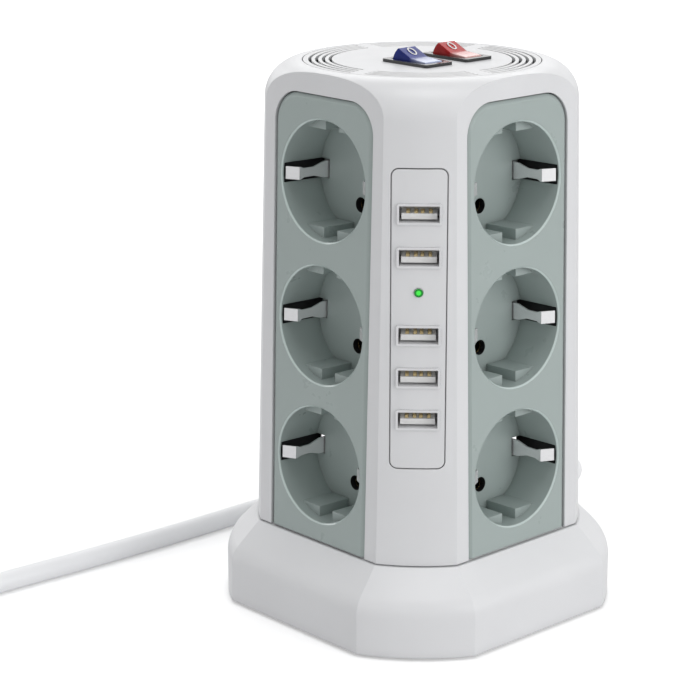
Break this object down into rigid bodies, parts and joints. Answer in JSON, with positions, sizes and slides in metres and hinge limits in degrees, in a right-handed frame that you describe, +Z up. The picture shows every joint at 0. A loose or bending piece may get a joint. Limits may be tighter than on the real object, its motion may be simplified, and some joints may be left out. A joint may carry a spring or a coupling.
{
  "type": "surge protector power strip",
  "caption": "Free-standing tower power strip: a tapering square column with earthed sockets on its faces, charging ports on one corner, rocker switches and vents on top, and a flared base.",
  "frame": {"origin": "centre of the base at the floor, on the column axis", "axes": "+Z up along the column; the front socket face looks along -Y and the charging corner lies between +X and -Y; the switches lie along X"},
  "size_m": [0.1548, 0.4019, 0.1863],
  "materials": {
    "black_plastic": "black moulded plastic",
    "blue_plastic": "clear blue moulded plastic",
    "brass": "rolled brass strip",
    "capacitor_case": "yellow box",
    "circuit_board": "green solder mask",
    "cord_sheath": "white flexible sheath",
    "fuse_body": "ceramic tube",
    "gilt": "gilt contact springs",
    "green_light": "clear green light guide",
    "nickel": "nickel-plated spring metal",
    "panel_plastic": "satin moulded plastic, grey-green",
    "plug_plastic": "white moulded plastic",
    "port_plastic": "white insulator",
    "red_plastic": "clear red moulded plastic",
    "rubber": "matt rubber",
    "screw_steel": "zinc-plated steel",
    "shell_steel": "tin-plated sheet steel",
    "transformer_tape": "yellow tape over a ferrite core",
    "varistor_coat": "blue epoxy coating",
    "white_plastic": "satin moulded plastic, cool white"
  },
  "bodies": {
    "tower": {"housing": "white_plastic", "top_cover": "white_plastic", "front_panel": "panel_plastic", "right_panel": "panel_plastic", "back_panel": "panel_plastic", "left_panel": "panel_plastic", "front_earth_contacts": "nickel", "right_earth_contacts": "nickel", "back_earth_contacts": "nickel", "left_earth_contacts": "nickel", "front_earth_rail": "brass", "right_earth_rail": "brass", "back_earth_rail": "brass", "left_earth_rail": "brass", "front_live_rail": "brass", "right_live_rail": "brass", "back_live_rail": "brass", "left_live_rail": "brass", "front_neutral_rail": "brass", "right_neutral_rail": "brass", "back_neutral_rail": "brass", "left_neutral_rail": "brass", "port_plate": "white_plastic", "port_shells": "shell_steel", "port_tongues": "port_plastic", "port_contacts": "gilt", "port_board": "circuit_board", "status_light": "green_light", "blue_switch_frame": "black_plastic", "red_switch_frame": "black_plastic", "switch_blades": "brass", "base_shell": "white_plastic", "bottom_plate": "white_plastic", "rubber_feet": "rubber", "column_screws": "screw_steel", "base_screws": "screw_steel", "surge_board": "circuit_board", "varistors": "varistor_coat", "thermal_fuse": "fuse_body", "filter_capacitor": "capacitor_case", "supply_transformer": "transformer_tape", "cord_boot": "plug_plastic", "cord_run": "cord_sheath", "cord_coil": "cord_sheath", "cord_tail": "cord_sheath", "plug_body": "plug_plastic", "plug_pins": "nickel", "plug_earth_strips": "nickel"},
    "blue_rocker": {"blue_rocker": "blue_plastic"},
    "red_rocker": {"red_rocker": "red_plastic"}
  },
  "joints": [
    {"name": "blue_switch", "type": "hinge", "parent": "tower", "child": "blue_rocker", "pos_m": [0.0055, -0.0075, 0.1803], "axis": [0, -1, 0], "range_deg": [0, 30]},
    {"name": "red_switch", "type": "hinge", "parent": "tower", "child": "red_rocker", "pos_m": [0.0055, 0.0105, 0.1803], "axis": [0, -1, 0], "range_deg": [0, 30]}
  ]
}
